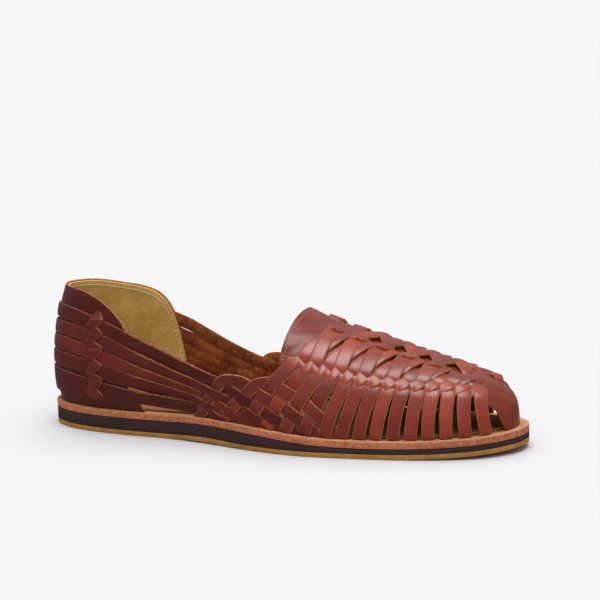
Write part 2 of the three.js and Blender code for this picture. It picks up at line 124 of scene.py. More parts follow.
# Places along the shoe at which the heights of the long straps are given.
STRAP_PLACES = [0, 0.07, 0.14, 0.26, 0.36]
# Long straps: extra width at the heel, heights at the places above, points of the woven end.
STRAPS = [
    (0, [0.774, 0.785, 0.712, 0.526, 0.362],
     [(0.428, 0.278), (0.465, 0.228), (0.517, 0.149), (0.55, 0.091), (0.577, 0.038), (0.6, -0.03)]),
    (0, [0.635, 0.648, 0.59, 0.401, 0.26],
     [(0.395, 0.215), (0.457, 0.143), (0.501, 0.071), (0.537, 0.009), (0.558, -0.03)]),
    (0, [0.505, 0.52, 0.454, 0.304, 0.185],
     [(0.395, 0.146), (0.445, 0.075), (0.481, 0.028), (0.512, -0.03)]),
    (0, [0.375, 0.386, 0.334, 0.226, 0.13],
     [(0.395, 0.08), (0.434, 0.025), (0.465, -0.03)]),
    (6, [0.195, 0.19, 0.159, 0.115, 0.07],
     [(0.392, 0.04), (0.435, -0.03)]),
]
# Loops, in millimetres along the shoe and above the sole: up from the sole, then down forward.
LOOPS = [
    ([(105, -2.5), (107.5, 0), (111, 6), (115.5, 12.5), (119.5, 18.5)],
     [(123.5, 22.5), (129, 23.6), (136.4, 22.7), (142, 20.1), (152.3, 16.4), (162, 13.6), (169.7, 9.8),
      (176.4, 5.2), (182.5, 0.8), (186, -2.5)]),
    ([(121, -2.5), (122.5, 0), (127, 4.5), (131.5, 9.8), (136.5, 14.8), (141, 19.5)],
     [(146.5, 24), (152.2, 25.4), (157.5, 23.8), (165.8, 20.9), (174.4, 17.4), (180.4, 13.4), (187.2, 8.2),
      (191.4, 4), (196, -2.5)]),
]
# Creases of the apron: ends as place along the shoe and angle, depth, half width.
CREASES = [
    ((158, 41), (168, 52), 0.8, 1.9), ((161, 37), (169, 44), 0.7, 1.6), ((160, 62), (169, 78), 0.5, 3.5),
    ((164, 52), (171, 60), 0.5, 2.4), ((268, 62), (275, 70), 0.4, 3),
]
# Millimetres across the apron for a degree of angle.
CREASE_ARC = 0.75
# Slits beside the keeper: height above the sole, distance from the back of the heel.
KEEPER_REAR = [
    (58, 50.4), (52, 47.4), (47, 43.8), (45.2, 46.8), (38, 44.2), (36.2, 46.8), (28.3, 44), (27.2, 47),
    (19.6, 44.4), (17.2, 46.8), (9.5, 44.5), (4, 45.5),
]
KEEPER_FRONT = [
    (58, 52.4), (51.5, 56), (47.6, 51.8), (45.2, 55), (43.4, 55.4), (39.2, 50.7), (36.6, 55),
    (34.2, 55.4), (29, 50.7), (26.5, 55), (25.3, 55.4), (20.7, 49.8), (18.6, 55), (16.4, 55.4),
    (11.6, 51.6), (8.6, 55), (4, 54),
]


def clamp(value, low, high):
    return min(max(value, low), high)


def lerp(a, b, t):
    return a + (b - a) * t


def smoothstep(value, low, high):
    t = clamp((value - low) / (high - low), 0, 1)
    return t * t * (3 - 2 * t)


def bell(value, middle, width):
    return math.exp(-((value - middle) / width) ** 2)


def spread(share):
    return math.acos(1 - 2 * clamp(share, 0, 1)) / math.pi


def column(rows, number=1, place=lambda value: value):
    """A smooth curve through one column of a table."""
    xs = [place(row[0]) for row in rows]
    ys = [row[number] for row in rows]
    last = len(xs) - 1
    slopes = []
    for i in range(last + 1):
        a, b = max(i - 1, 0), min(i + 1, last)
        slopes.append((ys[b] - ys[a]) / (xs[b] - xs[a]))

    def value(v):
        x = clamp(place(v), xs[0], xs[last])
        i = 0
        while i < last - 1 and x > xs[i + 1]:
            i += 1
        step = xs[i + 1] - xs[i]
        t = (x - xs[i]) / step
        return ((2 * t**3 - 3 * t**2 + 1) * ys[i] + (t**3 - 2 * t**2 + t) * step * slopes[i]
                + (3 * t**2 - 2 * t**3) * ys[i + 1] + (t**3 - t**2) * step * slopes[i + 1])

    return value


lateral_share = column(OUTLINE, 1, spread)
medial_share = column(OUTLINE, 2, spread)
crest_height = column(CREST, 1, spread)
crest_across = column(CREST, 2)
spine_angle = column(SPINE)
cap_border = column(CAP)
heel_back = column(HEEL, 1)
heel_side = column(HEEL, 2)
toplines = {-1: column(TOPLINE, 1), 1: column(TOPLINE, 2)}


def ground(x):
    place = x / LENGTH
    spring = max(0, (place - SPRING_START) / (1 - SPRING_START))
    arch = max(0, 1 - ((place - ARCH) / ARCH_HALF) ** 2)
    return TOE_SPRING * spring**2 + ARCH_RISE * arch**2


def wedge(x):
    return lerp(WEDGE_HEEL, WEDGE_FORE, smoothstep(x / LENGTH, *WEDGE_THINS))


def midsole_floor(x):
    return ground(x) + OUTSOLE + GAP


def welt_floor(x):
    return midsole_floor(x) + wedge(x) + GAP


def welt_top(x):
    return welt_floor(x) + WELT


def upper_floor(x):
    return welt_top(x) + GAP


UPPER_LENGTH = LENGTH - HEEL_INSET - TOE_INSET
FEATHER = 1 - 2 * SIDE_INSET / BALL
HEEL_RADIUS = HEEL_ROUND - HEEL_INSET
HEEL_ARC = HEEL_RADIUS * math.pi / 2


def upper_share(x):
    return (x - HEEL_INSET) / UPPER_LENGTH


def foot_half(side, x):
    half = lateral_share if side < 0 else medial_share
    return half(upper_share(x)) * BALL * FEATHER


def crown(x, angle):
    """A point of the last: angle 0 at the lateral foot line, 90 on the crest."""
    place = upper_share(x)
    crest = crest_across(place) * BALL
    side = -1 if angle < 90 else 1
    radians = math.radians(angle)
    half = foot_half(side, x) - side * crest
    reach = abs(math.cos(radians)) ** (2 / SECTION_POWER)
    rise = abs(math.sin(radians)) ** (2 / SECTION_POWER)
    return np.array((x, crest + side * half * reach,
                     upper_floor(x) + crest_height(place) * INSTEP * rise))


def angle_at(x, height):
    crest = crest_height(upper_share(x)) * INSTEP
    return math.degrees(math.asin(clamp(height / crest, 0, 1) ** (SECTION_POWER / 2)))


def side_wall(side, x, height):
    angle = angle_at(x, max(height, 0))
    point = crown(x, angle if side < 0 else 180 - angle)
    heel = foot_half(side, x) + heel_side(height / COUNTER)
    point[1] = lerp(side * heel, point[1], smoothstep(x / LENGTH, *WALL_TURNS))
    point[2] = upper_floor(x) + height
    return point


def heel_wall(travel, height):
    """A point of the wall round the heel; travel is the signed distance from the back."""
    side = -1 if travel < 0 else 1
    distance = abs(travel)
    if distance >= HEEL_ARC:
        return side_wall(side, HEEL_ROUND + distance - HEEL_ARC, height)
    turn = distance / HEEL_ARC * math.pi / 2
    x = HEEL_ROUND - HEEL_RADIUS * math.cos(turn)
    foot = np.array((x, side * foot_half(side, max(x, HEEL_INSET)), 0.0))
    radial = foot - np.array((HEEL_ROUND, 0, 0))
    radial /= np.linalg.norm(radial)
    level = height / COUNTER
    foot += radial * lerp(heel_back(level), heel_side(level), math.sin(turn) ** 2)
    foot[2] = upper_floor(max(foot[0], 0)) + height
    return foot


def travel_at(side, x):
    return side * (x - HEEL_ROUND + HEEL_ARC)


def unit(v):
    return v / np.linalg.norm(v)


PROBE = 0.5
CORE_FRONT = 0.85 * LENGTH
CORE_HEIGHT = 5


def frame_at(surface, a, b):
    """Point and normal of a surface of two parameters, with the normal away from the foot's core."""
    point = surface(a, b)
    along = surface(a + PROBE, b) - surface(a - PROBE, b)
    across = surface(a, b + PROBE) - surface(a, b - PROBE)
    normal = unit(np.cross(along, across))
    core_x = clamp(point[0], HEEL_ROUND, CORE_FRONT)
    core = np.array((core_x, 0, upper_floor(point[0]) + CORE_HEIGHT))
    if np.dot(normal, point - core) < 0:
        normal = -normal
    return point, normal


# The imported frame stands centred; the same shift takes these millimetres to it.
low_corner, high_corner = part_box("outsole")
places = np.linspace(0, 1, 201)
middle_y = (max(map(medial_share, places)) - max(map(lateral_share, places))) * BALL / 2
SHIFT = np.array((
    (low_corner[0] + high_corner[0]) / 2 - LENGTH / 2 / MM_PER_M,
    (low_corner[1] + high_corner[1]) / 2 - middle_y / MM_PER_M,
    0,
))


def placed(point):
    return tuple(np.asarray(point) / MM_PER_M + SHIFT)


rng = random.Random(11)
TINTS = (0.42, 0.92)
REAR_TINTS = (0.3, 0.62)
WELD_DISTANCE = 1e-6


def new_object(name, data):
    made = bpy.data.objects.new(name, data)
    bpy.context.scene.collection.objects.link(made)
    return made


class Shape:
    """Vertices and faces of one piece, with a tint and a place across for its material."""

    def __init__(self):
        self.points, self.tints, self.acrosses = [], [], []
        self.faces, self.kinds = [], []

    def add(self, point, tint=0.5, across=0.0):
        self.points.append(placed(point))
        self.tints.append(tint)
        self.acrosses.append(across)
        return len(self.points) - 1

    def face(self, corners, kind=0):
        self.faces.append(corners)
        self.kinds.append(kind)

    def rings(self, rings, kinds, tint=0.5, acrosses=None, end_kind=1):
        """Joins rings of as many points each into a tube with closed ends."""
        count = len(rings[0])
        acrosses = acrosses or [0] * count
        rows = [[self.add(p, tint, acrosses[k]) for k, p in enumerate(ring)] for ring in rings]
        for low, high in zip(rows, rows[1:]):
            for k in range(count):
                n = (k + 1) % count
                self.face((low[k], low[n], high[n], high[k]), kinds[k])
        self.face(tuple(reversed(rows[0])), end_kind)
        self.face(tuple(rows[-1]), end_kind)

    def object(self, name, materials, nodes=("upper",)):
        mesh = bpy.data.meshes.new(name)
        mesh.from_pydata(self.points, [], self.faces)
        mesh.update()
        for material in materials:
            mesh.materials.append(material)
        mesh.polygons.foreach_set("material_index", self.kinds)
        mesh.polygons.foreach_set("use_smooth", [True] * len(self.faces))
        for label, values in (("tint", self.tints), ("across", self.acrosses)):
            layer = mesh.attributes.new(label, "FLOAT", "POINT")
            layer.data.foreach_set("value", values)
        piece = new_object(name, mesh)
        mend = piece.modifiers.new("weld", "WELD")
        mend.merge_threshold = WELD_DISTANCE
        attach(piece, "root")
        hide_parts(*nodes)
        return piece


def evenly(rows, distances, count):
    """Rows of numbers at even steps of the distance, on smooth curves through the given rows."""
    curves = [column(list(zip(distances, numbers))) for numbers in zip(*rows)]
    return [[curve(distances[-1] * i / count) for curve in curves] for i in range(count + 1)]


def resampled(surface, rows, step):
    """Rows of (a, b, lift, width, roll) along a smooth path at even steps."""
    spots = [surface(r[0], r[1]) for r in rows]
    total = [0.0]
    for p, q in zip(spots, spots[1:]):
        total.append(total[-1] + max(float(np.linalg.norm(q - p)), 1e-3))
    return evenly(rows, total, max(2, int(round(total[-1] / step))))


def strap_rings(surface, rows, step=1.3, puff=0.25, bevel=0.32):
    """Cross-sections of a strap along rows of (a, b, lift, width, roll)."""
    samples = resampled(surface, rows, step)
    frames = [frame_at(surface, s[0], s[1]) for s in samples]
    centres = [p + n * s[2] for (p, n), s in zip(frames, samples)]
    rings = []
    for i, sample in enumerate(samples):
        tangent = unit(centres[min(i + 1, len(centres) - 1)] - centres[max(i - 1, 0)])
        side = unit(np.cross(tangent, frames[i][1]))
        up = np.cross(side, tangent)
        roll = math.radians(sample[4])
        side, up = side * math.cos(roll) + up * math.sin(roll), up * math.cos(roll) - side * math.sin(roll)
        half = sample[3] / 2
        rings.append([centres[i] + side * s + up * n for s, n in section(half, LEATHER, puff, bevel)])
    return rings


def section(half, thick, puff, bevel):
    """Outline of a strap's section, from its lower left corner over the top and back below."""
    left = [(-half + 0.15, 0), (-half, 0.2), (-half, thick - bevel),
            (-half + bevel * 0.35, thick - bevel * 0.3), (-half + bevel, thick),
            (-half * 0.6, thick + puff * 0.7)]
    return [*left, (0, thick + puff), *[(-s, n) for s, n in reversed(left)], (0, 0)]


# Material and place across for each point of that outline: 0 face, 1 cut edge, 2 flesh side.
STRAP_KINDS = [1, 1, 1, 1, 0, 0, 0, 0, 1, 1, 1, 1, 2, 2]
STRAP_ACROSS = [-1, -1, -1, -0.95, -0.85, -0.6, 0, 0.6, 0.85, 0.95, 1, 1, 1, 0]


def strap(name, surface, rows, tint=None, face=None, edge=None, **sizes):
    shape = Shape()
    tint = rng.uniform(*TINTS) if tint is None else tint
    shape.rings(strap_rings(surface, rows, **sizes), STRAP_KINDS, tint, STRAP_ACROSS)
    shape.object(name, [face or leather, edge or cut_edge, suede])


SHEET_BEVEL = 0.3
BEVEL_ANGLE = 50


def sheet(name, surface, grid, thick, materials, nodes=("upper",), tint=0.5, painted=()):
    """A sheet of leather: grid rows of (a, b, lift of its inner face), painted columns as cut edge."""
    shape = Shape()
    outer, inner = [], []
    for row in grid:
        frames = [frame_at(surface, g[0], g[1]) for g in row]
        inner.append([shape.add(p + n * g[2], tint) for (p, n), g in zip(frames, row)])
        outer.append([shape.add(p + n * (g[2] + thick), tint) for (p, n), g in zip(frames, row)])
    rows, columns = len(grid), len(grid[0])
    for i in range(rows - 1):
        for j in range(columns - 1):
            kind = int(j in painted)
            shape.face((outer[i][j], outer[i + 1][j], outer[i + 1][j + 1], outer[i][j + 1]), kind)
            shape.face((inner[i][j], inner[i][j + 1], inner[i + 1][j + 1], inner[i + 1][j]), 2)
    border = [(0, j) for j in range(columns)] + [(i, columns - 1) for i in range(1, rows)]
    border += [(rows - 1, j) for j in range(columns - 2, -1, -1)]
    border += [(i, 0) for i in range(rows - 2, 0, -1)]
    for (i, j), (k, m) in zip(border, border[1:] + border[:1]):
        shape.face((outer[i][j], outer[k][m], inner[k][m], inner[i][j]), 1)
    piece = shape.object(name, materials, nodes)
    facing(piece)
    round_off = piece.modifiers.new("bevel", "BEVEL")
    round_off.width = SHEET_BEVEL / MM_PER_M
    round_off.segments = 2
    round_off.limit_method = "ANGLE"
    round_off.angle_limit = math.radians(BEVEL_ANGLE)


def facing(piece):
    """Turns all faces of a closed piece outward."""
    mesh = bmesh.new()
    mesh.from_mesh(piece.data)
    bmesh.ops.recalc_face_normals(mesh, faces=mesh.faces)
    mesh.to_mesh(piece.data)
    mesh.free()


# Materials

def srgb(r, g, b):
    return tuple((c / 12.92 if c <= 0.04045 else ((c + 0.055) / 1.055) ** 2.4)
                 for c in (r / 255, g / 255, b / 255)) + (1.0,)


WHITE = srgb(255, 255, 255)


class Nodes:
    """The node tree of a material or of the sky."""

    def __init__(self, owner):
        owner.use_nodes = True
        self.tree = owner.node_tree

    def fill(self, node, sockets):
        """Sets each socket of a node to a value, or links it to another node's output."""
        for socket, value in sockets.items():
            if isinstance(value, bpy.types.NodeSocket):
                self.tree.links.new(value, node.inputs[socket])
            else:
                node.inputs[socket].default_value = value

    def node(self, kind, sockets, **settings):
        node = self.tree.nodes.new("ShaderNode" + kind)
        for setting, value in settings.items():
            setattr(node, setting, value)
        self.fill(node, sockets)
        return node.outputs

    def ramp(self, factor, stops):
        node = self.tree.nodes.new("ShaderNodeValToRGB")
        elements = node.color_ramp.elements
        while len(elements) < len(stops):
            elements.new(0.5)
        for element, (position, colour) in zip(elements, stops):
            element.position = position
            element.color = colour
        self.fill(node, {"Fac": factor})
        return node.outputs["Color"]


class Finish(Nodes):
    """A material made of noise, ramps and bumps."""

    def __init__(self, name, roughness, **sockets):
        self.material = bpy.data.materials.new(name)
        super().__init__(self.material)
        self.shader = self.tree.nodes["Principled BSDF"]
        self.fill(self.shader, {"Roughness": roughness})
        self.fill(self.shader, {socket.replace("_", " "): value for socket, value in sockets.items()})
        self.place = self.node("TexCoord", {})["Object"]
        self.normal = None

    def noise(self, scale, detail=3.0, rough=0.55, distortion=0.0):
        return self.node("TexNoise", {"Vector": self.place, "Scale": scale, "Detail": detail,
                                      "Roughness": rough, "Distortion": distortion})["Fac"]

    def cells(self, scale):
        return self.node("TexVoronoi", {"Vector": self.place, "Scale": scale})["Distance"]

    def attribute(self, name):
        return self.node("Attribute", {}, attribute_name=name)["Fac"]

    def math(self, operation, a, b=0.0):
        return self.node("Math", {0: a, 1: b}, operation=operation)[0]

    def mix(self, a, b, factor, blend="MIX"):
        return self.node("Mix", {0: factor, 6: a, 7: b}, data_type="RGBA", blend_type=blend)[2]

    def colour(self, value):
        self.fill(self.shader, {"Base Color": value})

    def roughness(self, value, low, high):
        reach = self.node("MapRange", {"Value": value, "To Min": low, "To Max": high})
        self.fill(self.shader, {"Roughness": reach["Result"]})

    def bump(self, value, distance, strength=1.0):
        below = {} if self.normal is None else {"Normal": self.normal}
        self.normal = self.node("Bump", {"Height": value, "Distance": distance, "Strength": strength,
                                         **below})["Normal"]
        self.fill(self.shader, {"Normal": self.normal})


def leather_finish(name, dark, middle, light, coat=0.18, shine=0.65):
    finish = Finish(name, 0.31, Coat_Weight=coat, Coat_Roughness=0.28, Specular_IOR_Level=shine)
    tone = finish.ramp(finish.attribute("tint"), [(0.0, dark), (0.5, middle), (1.0, light)])
    clouds = finish.noise(60, 4, 0.6)
    mottled = finish.ramp(clouds, [(0.3, srgb(200, 178, 170)), (0.7, srgb(255, 252, 250))])
    body = finish.mix(tone, mottled, 0.85, "MULTIPLY")
    # Painted shade: each strap's colour darkens towards both its edges, where shade falls in the gaps
    # between straps.
    rim = finish.math("POWER", finish.math("ABSOLUTE", finish.attribute("across")), 5.0)
    body = finish.mix(body, srgb(70, 24, 16), finish.math("MULTIPLY", rim, 0.4))
    finish.colour(body)
    finish.roughness(finish.noise(180, 3), 0.24, 0.43)
    finish.bump(finish.noise(45, 2), 0.0005, 0.6)
    finish.bump(finish.cells(1500), 0.00006, 0.35)
    finish.bump(finish.noise(900, 4), 0.00008, 0.4)
    return finish.material


leather = leather_finish("leather", srgb(70, 15, 9), srgb(136, 40, 19), srgb(172, 63, 31))
dark_leather = leather_finish("counter_leather", srgb(58, 12, 7), srgb(94, 22, 10), srgb(134, 38, 18),
                              coat=0.1, shine=0.5)
plug_leather = leather_finish("plug_leather", srgb(118, 43, 26), srgb(132, 50, 31), srgb(150, 62, 39),
                              coat=0.05, shine=0.45)


def cut_finish(name, dark, light):
    finish = Finish(name, 0.75, Specular_IOR_Level=0.25)
    grain = finish.noise(420, 4, 0.6)
    finish.colour(finish.ramp(grain, [(0.3, dark), (0.7, light)]))
    finish.bump(finish.noise(1300, 3), 0.0001, 0.6)
    return finish.material


def suede_finish():
    finish = Finish("suede", 0.95, Specular_IOR_Level=0.1, Sheen_Weight=0.15, Sheen_Roughness=0.5)
    nap = finish.noise(700, 5, 0.65)
    cloud = finish.noise(90, 3)
    base = finish.ramp(nap, [(0.3, srgb(118, 58, 26)), (0.7, srgb(200, 116, 62))])
    shade = finish.ramp(cloud, [(0.3, srgb(170, 160, 150)), (0.7, WHITE)])
    finish.colour(finish.mix(base, shade, 1.0, "MULTIPLY"))
    finish.bump(nap, 0.0005, 0.9)
    return finish.material


def lining_finish():
    finish = Finish("lining_leather", 0.6, Specular_IOR_Level=0.3)
    cloud = finish.noise(38, 4, 0.6, distortion=0.4)
    khaki = [(0.3, srgb(204, 164, 84)), (0.52, srgb(224, 190, 112)), (0.75, srgb(236, 208, 132))]
    tone = finish.ramp(cloud, khaki)
    pores = finish.ramp(finish.noise(800, 3), [(0.35, srgb(215, 205, 190)), (0.6, WHITE)])
    finish.colour(finish.mix(tone, pores, 0.6, "MULTIPLY"))
    finish.bump(finish.noise(900, 4), 0.0001, 0.6)
    finish.bump(finish.noise(40, 2), 0.0006, 0.4)
    return finish.material


def board_finish(name, dark, light, speck, grain=520, strength=0.9):
    finish = Finish(name, 0.8, Specular_IOR_Level=0.2)
    fine = finish.noise(grain, 5, 0.7)
    body = finish.ramp(fine, [(0.32, dark), (0.68, light)])
    specks = finish.ramp(finish.noise(grain * 1.9, 2), [(0.6, WHITE), (0.72, speck)])
    cloud = finish.ramp(finish.noise(30, 3), [(0.3, srgb(225, 218, 214)), (0.7, WHITE)])
    finish.colour(finish.mix(finish.mix(body, specks, 0.7, "MULTIPLY"), cloud, 0.8, "MULTIPLY"))
    finish.bump(fine, 0.0004, strength)
    return finish.material


def thread_finish(name, dark, light):
    finish = Finish(name, 0.8, Specular_IOR_Level=0.2)
    finish.colour(finish.ramp(finish.noise(2500, 2), [(0.3, dark), (0.7, light)]))
    finish.bump(finish.noise(3000, 2), 0.00005, 0.8)
    return finish.material


cut_edge = cut_finish("cut_edge", srgb(124, 66, 38), srgb(200, 128, 78))
# Painted shade: a darker copy of the cut edge, for the long straps round the heel, to dim their edges that
# face the light.
shaded_edge = cut_finish("shaded_edge", srgb(92, 46, 28), srgb(160, 94, 56))
suede = suede_finish()
lining = lining_finish()
welt_side = board_finish("welt_side", srgb(160, 88, 60), srgb(216, 140, 100), srgb(190, 150, 130))
welt_face = board_finish("welt_face", srgb(190, 138, 100), srgb(216, 166, 126), srgb(230, 215, 200),
                         grain=300, strength=0.4)
foam = board_finish("foam", srgb(54, 39, 37), srgb(74, 54, 52), srgb(200, 190, 190), grain=700, strength=0.4)
honey = board_finish("honey_rubber", srgb(160, 112, 56), srgb(190, 142, 80), srgb(220, 210, 190),
                     grain=260, strength=0.25)
footbed = board_finish("footbed", srgb(150, 102, 68), srgb(178, 128, 90), srgb(225, 210, 195),
                       grain=240, strength=0.3)
throat_thread = thread_finish("throat_thread", srgb(150, 84, 58), srgb(206, 142, 108))
lining_thread = thread_finish("lining_thread", srgb(206, 176, 120), srgb(250, 236, 200))


# Sole: layers with rounded rims, each a closed slab.

SLAB_STATIONS = 110
SLAB_STEPS = 10
SLAB_ENDS = (0.02, 0.98)
RIM_CORNER = 0.3


def slab(name, low, high, materials, node, start=0.0, length=LENGTH, width=1.0, rim=0.5, wobble=0.0):
    shape = Shape()
    rings = []
    for i in range(SLAB_STATIONS + 1):
        place = (1 - math.cos(math.pi * lerp(*SLAB_ENDS, i / SLAB_STATIONS))) / 2
        x = start + place * length
        left = -lateral_share(place) * BALL * width - wobble * math.sin(x * 0.83) * math.sin(x * 0.31 + 1)
        right = medial_share(place) * BALL * width + wobble * math.sin(x * 0.71 + 2) * math.sin(x * 0.27)
        tuck = min(rim, (right - left) / 4)
        bottom, top = low(x), high(x)
        inner, corner = tuck * RIM_CORNER, rim * RIM_CORNER
        edge = [(inner, bottom + corner), (0, bottom + rim), (0, top - rim), (inner, top - corner)]
        across = [lerp(left + tuck, right - tuck, k / SLAB_STEPS) for k in range(SLAB_STEPS + 1)]
        ring = [(y, bottom) for y in across] + [(right - y, z) for y, z in edge]
        ring += [(y, top) for y in reversed(across)] + [(left + y, z) for y, z in reversed(edge)]
        rings.append([(x, y, z) for y, z in ring])
    side_kind = len(materials) - 1
    flat = [0] * SLAB_STEPS
    rounded = [side_kind] * 5
    shape.rings(rings, flat + rounded + flat + rounded, end_kind=side_kind)
    facing(shape.object(name, materials, (node,)))


slab("outsole_rubber", ground, lambda x: ground(x) + OUTSOLE, [honey], "outsole", rim=0.35)
slab("midsole_foam", midsole_floor, lambda x: midsole_floor(x) + wedge(x) + 0.1, [foam],
     "midsole", width=0.994, rim=0.25)
slab("welt_board", welt_floor, welt_top, [welt_face, welt_side], "welt", rim=0.5, wobble=0.2)
slab("insole_leather", upper_floor, lambda x: upper_floor(x) + INSOLE, [footbed], "insole",
     start=HEEL_INSET + INSOLE_MARGIN, length=UPPER_LENGTH - 2 * INSOLE_MARGIN,
     width=FEATHER - 2 * INSOLE_MARGIN / BALL, rim=0.3)


# Vamp

def spine_at(x):
    return spine_angle(upper_share(x))


def degrees_per_mm(x):
    place = upper_share(x)
    radius = (foot_half(-1, x) + crest_height(place) * INSTEP) / 2
    return math.degrees(1 / radius)


def sided(side, angle):
    return angle if side < 0 else 180 - angle


def creased(x, angle):
    """Depth of the creases at a place of the apron, each a soft trough along a line."""
    depth = 0.0
    for (x1, a1), (x2, a2), deep, wide in CREASES:
        for flip in (angle, 180 - angle):
            line = np.array((x2 - x1, (a2 - a1) * CREASE_ARC))
            away = np.array((x - x1, (flip - a1) * CREASE_ARC))
            away -= clamp(away @ line / (line @ line), 0, 1) * line
            depth += deep * math.exp(-(away @ away) / wide**2)
    return depth


def apron_edge(x):
    """Angle of the apron's lateral edge, below the spine band."""
    return spine_at(x) - SPINE_BAND / 2 * degrees_per_mm(x)


def throat_rise(angle):
    """How far ahead of its ends the throat's edge stands, which is most on the crest."""
    return THROAT_RISE * math.sin(math.radians(angle)) ** 2


APRON_GRID = (84, 64)
APRON_CROWDING = 1.35
APRON_THICK = 1.5
APRON_LIFT = -1.0


def apron():
    rows, columns = APRON_GRID
    grid = []
    for i in range(rows + 1):
        t = 1 - (1 - i / rows) ** APRON_CROWDING
        x = lerp(THROAT_X, LENGTH - TOE_INSET - 0.02, t)
        border = max(apron_edge(x) * cap_border(upper_share(x)), 0.5)
        row = []
        for j in range(columns + 1):
            angle = lerp(border, 180 - border, j / columns)
            ahead = throat_rise(angle) * (1 - t) ** 4
            row.append((x + ahead, angle, APRON_LIFT - creased(x, angle)))
        grid.append(row)
    sheet("apron", crown, grid, APRON_THICK, [plug_leather, cut_edge, suede])


def foot_x(number):
    return FOREMOST_FOOT - number * SOLE_PITCH - REAR_SPREAD * max(0, number - TIGHT_STRIPS + 1)


def spine_x(number):
    return FOREMOST_SPINE - number * SPINE_PITCH


# The strips behind this one run through the lattice, and their slits sit further ahead.
LATTICE_FIRST = 8
SLIT_SHIFT = 0.9


def slit_x(number):
    """Middle of the slit in the apron where a side strip comes out on top."""
    return spine_x(number) + SLIT_SHIFT * clamp(number - LATTICE_FIRST, 0, 4)


def strip_point(number, t):
    x = lerp(foot_x(number), spine_x(number), t)
    return x, max(spine_at(spine_x(number)) * t, 0.6)


# How far ahead the feet of the medial strips stand, from the foremost; the last goes for the rest.
MEDIAL_AHEAD = [2.8, 2.8, 1.5, -0.5, -2.0]
STRIP_STEPS = 24
STRIP_END = 1.06
FOOT_WIDTHS = {-1: 7.0, 1: 8.6}
SPINE_WIDTH = 7.7
REAR_EXTRA_WIDTH = 0.8
SHOULDER, SHOULDER_PLACE, SHOULDER_SPREAD = 0.45, 0.8, 0.13
FOOT_TUCK = 0.5
SPINE_TUCK = 0.9
STRIP_LIFTS = (-0.35, 0.1)
# The most that a strip bends or rolls at random.
LEAN = 0.35
ROLL_OF_STRIP = 2.5


def side_strip(number, side, lifts):
    """A strip from the sole to below the spine band; t is the share of the way between them."""
    rows = []
    lean = rng.uniform(-LEAN, LEAN)
    roll = rng.uniform(-ROLL_OF_STRIP, ROLL_OF_STRIP)
    tint = rng.uniform(*(REAR_TINTS if number >= TIGHT_STRIPS - 1 else TINTS))
    extra = REAR_EXTRA_WIDTH if number > TIGHT_STRIPS else 0
    shift = MEDIAL_AHEAD[min(number, len(MEDIAL_AHEAD) - 1)] if side > 0 else 0
    for i in range(STRIP_STEPS + 1):
        t = i / STRIP_STEPS * STRIP_END
        x, angle = strip_point(number, t)
        lift = lifts(t) if lifts else lerp(*STRIP_LIFTS, smoothstep(t, 0, 0.4))
        lift += SHOULDER * bell(t, SHOULDER_PLACE, SHOULDER_SPREAD)
        lift -= SPINE_TUCK * smoothstep(t, 0.93, STRIP_END) + FOOT_TUCK * (1 - smoothstep(t, 0, 0.08))
        width = lerp(FOOT_WIDTHS[side], SPINE_WIDTH, smoothstep(t, 0.1, 0.8)) + extra
        ahead = shift * (1 - t) + lean * math.sin(math.pi * min(t, 1))
        rows.append((x + ahead, sided(side, angle), lift, width, roll * t * side))
    strap(f"side_strip_{side_name(side)}_{number + 1:02d}", crown, rows, tint)


def side_name(side):
    return "lateral" if side < 0 else "medial"


def raised(number, side):
    return (number % 2 == 0) == (side < 0)


# Straps laid over the apron, from end to end: place ahead of the slit, share of the way from the
# spine band to the fold line, degrees past that, lift, width, roll.
FOLD_LINE = 72
LOZENGE = [
    (0.2, 0, -1, -1, 7.4, 0), (0.1, 0, 2.5, -0.7, 7.4, 0), (0.2, 0, 5.5, 0.4, 7.6, 0),
    (0.3, 0, 9, 0.9, 7.8, 2), (0.5, 0.5, 0, 1.1, 8.2, 4), (0.8, 0.78, 0, 1.1, 8.6, 4),
    (1.1, 1, 1, 0.6, 8.6, 0), (1.3, 1, 5, -0.6, 8.4, 0), (1.4, 1, 8, -1.35, 8, 0),
]
LIP = [
    (-3.8, 1, 0.5, -1.5, 3.4, 0), (-1.8, 1, 3.5, 0.8, 4.4, 6), (1.4, 1, 5.2, 1.5, 5.2, 8),
    (4.4, 1, 5.8, 1.2, 5.2, 5), (6.6, 1, 8, 0, 4.6, 0), (7.8, 1, 10, -0.9, 3.8, 0),
]
LOW_STRIP = [
    (0.2, 0, -1, -1, 6.8, 0), (0.2, 0, 3, -0.9, 6.8, 0), (0.6, 0, 7, 0.05, 7, 0), (1, 0, 10, 0.35, 7, 0),
    (2.4, 0, 14, 0.3, 7, 0), (4.6, 0.66, 0, 0, 7, 0), (6, 1, -6, -0.8, 7, 0),
]
TWIST = [
    (2.4, 1, -19, -0.9, 3, 0), (3.8, 1, -14, 0.2, 4.6, 5), (5.3, 1, -8.5, 0.8, 6, 10),
    (7, 1, -3, 1.1, 6.6, 11), (8.8, 1, 1.6, 1, 6.4, 8), (10.6, 1, 5, 0.3, 5.6, 0), (12, 1, 7.5, -0.9, 5, 0),
]
RIDGE_LOOP = [
    (1, 1, 7.5, -0.8, 5.8, 0), (2.8, 1, 11, 0.5, 6.6, 0), (5.6, 1, 16, 1.3, 7.2, 0),
    (8.6, 1, 21, 1.4, 7.2, 0), (11.4, 1, 26, 0.7, 6.6, 0), (13.2, 1, 30, -0.8, 5.8, 0),
]
# First strip with such a strap, last one on the lateral side, last one on the medial side.
LIPS = (3, STRIPS - 1, 10)
TWISTS = (2, STRIPS - 1, 11)
RIDGE_LOOPS = (3, 10, 10)


def among(number, side, numbers):
    first, last_lateral, last_medial = numbers
    return first <= number <= (last_lateral if side < 0 else last_medial)


